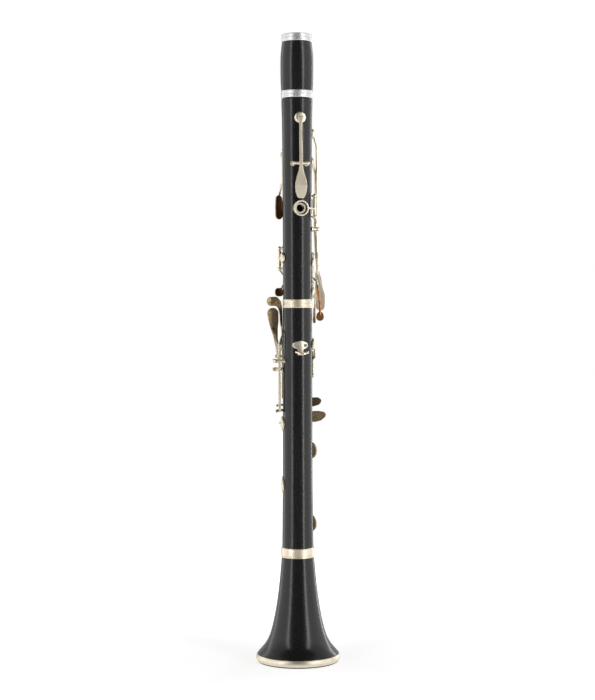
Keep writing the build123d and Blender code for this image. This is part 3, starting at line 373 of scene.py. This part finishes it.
# ---------------------------------------------------------------- CAD nodes
def soften(node):
    """Rounds the edges of a cast key, by modifiers only."""
    weld = node.modifiers.new("weld", "WELD")
    weld.merge_threshold = WELD_DISTANCE
    cast = node.modifiers.new("cast", "REMESH")
    cast.mode = "VOXEL"
    cast.voxel_size = CAST_VOXEL
    cast.use_smooth_shade = True
    round_off = node.modifiers.new("round", "SMOOTH")
    round_off.factor = CAST_FACTOR
    round_off.iterations = CAST_PASSES


def is_cast(name):
    return name.endswith(("_key", "_lever")) or name.startswith("side_key") or name == "thumb_rest"


def finish_nodes(materials):
    for name, node in frame["nodes"].items():
        for slot in node.material_slots:
            slot.material = materials[name]
        if is_cast(name):
            soften(node)


# ---------------------------------------------------------------- pads and rings
def smooth_piece(name, verts, faces, material):
    """A new mesh object in the scene, shaded smooth."""
    mesh = bpy.data.meshes.new(name)
    mesh.from_pydata(verts, [], faces)
    mesh.shade_smooth()
    mesh.materials.append(material)
    piece = bpy.data.objects.new(name, mesh)
    bpy.context.scene.collection.objects.link(piece)
    return piece


def pad_frame(node):
    """Centre, axis away from the bore, radius and thickness of a pad's CAD solid."""
    points = np.array([v.co for v in node.data.vertices])
    _, _, axes = np.linalg.svd(points - points.mean(0), full_matrices=False)
    spread = points @ axes.T
    low, high = spread.min(0), spread.max(0)
    centre = ((low + high) / 2) @ axes
    axis = axes[2] if axes[2][0] * centre[0] + axes[2][1] * centre[1] > 0 else -axes[2]
    return Vector(centre), Vector(axis), (high[0] - low[0]) / 2, high[2] - low[2]


def skin_pad(name, node, material):
    """A crowned skin pad, pressed in by its tone hole and puckered round its edge."""
    centre, axis, radius, thick = pad_frame(node)
    turn = axis.to_track_quat("Z", "X").to_matrix()
    section = PAD_SECTION[1:-1]
    verts, faces = [], []
    for share, height in section:
        pucker = PAD_PUCKER if share > PAD_EDGE else 0.0
        for k in range(PAD_STEPS):
            a = 2 * math.pi * k / PAD_STEPS
            r = radius * share * (1 - pucker * (0.5 + 0.5 * math.sin(PAD_PUCKERS * a)))
            point = Vector((r * math.cos(a), r * math.sin(a), (height - 0.5) * thick))
            verts.append(centre + turn @ point)
    for row in range(len(section) - 1):
        for k in range(PAD_STEPS):
            a, b = row * PAD_STEPS + k, row * PAD_STEPS + (k + 1) % PAD_STEPS
            faces.append((a, a + PAD_STEPS, b + PAD_STEPS, b))
    for row, height in ((0, PAD_SECTION[0][1]), (len(section) - 1, PAD_SECTION[-1][1])):
        verts.append(centre + axis * ((height - 0.5) * thick))
        for k in range(PAD_STEPS):
            a, b = row * PAD_STEPS + k, row * PAD_STEPS + (k + 1) % PAD_STEPS
            faces.append((len(verts) - 1, a, b) if row == 0 else (len(verts) - 1, b, a))
    return smooth_piece(name, verts, faces, material)


def grooved_ring(name, node, material):
    """A band ring with the grooves that its CAD solid leaves out, on the bore axis."""
    points = np.array([v.co for v in node.data.vertices])
    reach = np.hypot(points[:, 0], points[:, 1])
    low, high = points[:, 2].min(), points[:, 2].max()
    section = [(reach.max() - depth, low + share * (high - low)) for share, depth in RING_SECTION]
    section += [(reach.min(), high), (reach.min(), low)]
    angles = [2 * math.pi * k / RING_STEPS for k in range(RING_STEPS)]
    verts = [(r * math.cos(a), r * math.sin(a), z) for r, z in section for a in angles]
    faces = []
    for row in range(len(section)):
        here, after = row * RING_STEPS, (row + 1) % len(section) * RING_STEPS
        for k in range(RING_STEPS):
            beside = (k + 1) % RING_STEPS
            faces.append((here + k, here + beside, after + beside, after + k))
    piece = smooth_piece(name, verts, faces, material)
    piece.data.set_sharp_from_angle(angle=math.radians(RING_CREASE))
    return piece


def make_pads(material):
    for name, node in list(frame["nodes"].items()):
        if name.endswith("_pad"):
            piece = skin_pad(f"{name}_skin", node, material)
            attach(piece, body_of(node)[0])
            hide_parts(name)


def make_rings(materials):
    for name, finish in (("barrel_top_ring", "silver_ring"), ("barrel_bottom_ring", "silver_ring"),
                         ("lower_socket_ring", "nickel_ring")):
        node = frame["nodes"][name]
        piece = grooved_ring(f"{name}_grooved", node, materials[name])
        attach(piece, body_of(node)[0])
        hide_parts(name)


# ---------------------------------------------------------------- studio
def direction(azimuth):
    """Level unit vector from the instrument, at an angle round it from the camera's side."""
    a = math.radians(VIEW_AZIMUTH + azimuth)
    return Vector((math.sin(a), -math.cos(a), 0.0))


def tall_lamp(name, azimuth, distance, width, strength):
    """A tall white lamp that faces the bore and that the camera doesn't see."""
    lamp = bpy.data.lights.new(name, "AREA")
    lamp.shape = "RECTANGLE"
    lamp.size, lamp.size_y = width, LAMP_LENGTH
    lamp.energy = strength * width * LAMP_LENGTH * LAMP_WATTS
    foot = direction(azimuth) * distance
    place = Vector((foot.x, foot.y, LAMP_HEIGHT))
    piece = bpy.data.objects.new(name, lamp)
    piece.location = place
    piece.rotation_mode = "QUATERNION"
    piece.rotation_quaternion = (Vector((0, 0, LAMP_HEIGHT)) - place).to_track_quat("-Z", "Y")
    piece.visible_camera = False
    bpy.context.scene.collection.objects.link(piece)


def make_lights():
    """A tall white panel on each side, with a bright strip at each edge of it."""
    for lamp in LAMPS:
        tall_lamp(*lamp)


def make_world():
    """White surroundings. Reflections see bright sides and floor, and a dark front and ceiling."""
    world = bpy.data.worlds.new("studio")
    bpy.context.scene.world = world
    world.use_nodes = True
    s = Nodes(world.node_tree, "Generated")
    inputs = {0: s.place, 1: direction(0)}
    front = s.add("ShaderNodeVectorMath", inputs, operation="DOT_PRODUCT").outputs["Value"]
    height = s.axis("Z")
    light = s.between(s.remap(front, *FRONT_EDGE), SIDE_LIGHT, FRONT_LIGHT)
    light = s.between(s.remap(height, *CEILING_EDGE), light, CEILING_LIGHT)
    light = s.between(s.remap(height, *FLOOR_EDGE), light, FLOOR_LIGHT)
    shade = s.tree.nodes["Background"]
    s.tree.links.new(light, shade.inputs["Strength"])
    shade.inputs["Color"].default_value = WHITE
    white = s.add("ShaderNodeBackground", {"Color": WHITE})
    inputs = {"Fac": s.add("ShaderNodeLightPath").outputs["Is Camera Ray"],
              1: shade.outputs["Background"], 2: white.outputs["Background"]}
    pick = s.add("ShaderNodeMixShader", inputs)
    s.tree.links.new(pick.outputs["Shader"], s.tree.nodes["World Output"].inputs["Surface"])


def make_floor():
    """A white floor: a wide disc under the bell that glows, less near the instrument: painted shade
    round the bell.
    """
    bpy.ops.mesh.primitive_circle_add(vertices=FLOOR_SIDES, radius=FLOOR_RADIUS, fill_type="NGON")
    floor = bpy.context.object
    floor.name = "floor"
    s = Surface("floor", Roughness=0.9, Specular_IOR_Level=0.1,
                Base_Color=FLOOR_GREY, Emission_Color=WHITE)
    far = s.add("ShaderNodeVectorMath", {0: s.place}, operation="LENGTH").outputs["Value"]
    # emission dimmed near the bore paints a shade round the bell
    s.tree.links.new(s.remap(far, *GLOW_REACH, *GLOW), s.shader.inputs["Emission Strength"])
    floor.data.materials.append(s.material)
    floor.visible_glossy = False


def make_camera():
    camera = bpy.data.objects.new("camera", bpy.data.cameras.new("camera"))
    camera.data.lens = LENS_MM
    camera.data.shift_y = SHIFT_Y
    camera.data.clip_start, camera.data.clip_end = CLIP_NEAR, CLIP_FAR
    foot = direction(0) * VIEW_DISTANCE
    camera.location = Vector((foot.x, foot.y, VIEW_HEIGHT))
    look = (AIM - camera.location).to_track_quat("-Z", "Y")
    roll = Matrix.Rotation(math.radians(LEAN), 3, "Z").to_quaternion()
    camera.rotation_mode = "QUATERNION"
    camera.rotation_quaternion = look @ roll
    bpy.context.scene.collection.objects.link(camera)
    bpy.context.scene.camera = camera


# ---------------------------------------------------------------- the scene
materials = make_materials()
finish_nodes(materials)
make_pads(materials["register_pad"])
make_rings(materials)
make_world()
make_lights()
make_floor()
make_camera()
bpy.context.scene.view_settings.view_transform = "Standard"
